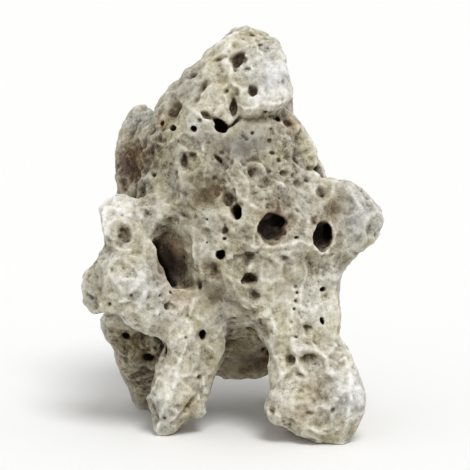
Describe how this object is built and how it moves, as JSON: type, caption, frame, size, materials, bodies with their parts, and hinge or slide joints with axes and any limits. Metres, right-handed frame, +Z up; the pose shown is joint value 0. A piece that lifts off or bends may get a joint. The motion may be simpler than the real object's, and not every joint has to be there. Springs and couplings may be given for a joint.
{
  "type": "limestone rock",
  "caption": "Weathered holey limestone for an aquarium, standing on four blunt feet, with a knobbed peak, side knobs, deep round bores and a low arch beneath.",
  "frame": {"origin": "on the ground, under the middle of the stone's box", "axes": "+Z up, +X to the viewer's right when facing the side with the three large bores, +Y away from that viewer"},
  "size_m": [0.1538, 0.1284, 0.203],
  "materials": {
    "limestone": "matte"
  },
  "bodies": {
    "root": {"rock": "limestone"}
  },
  "joints": []
}
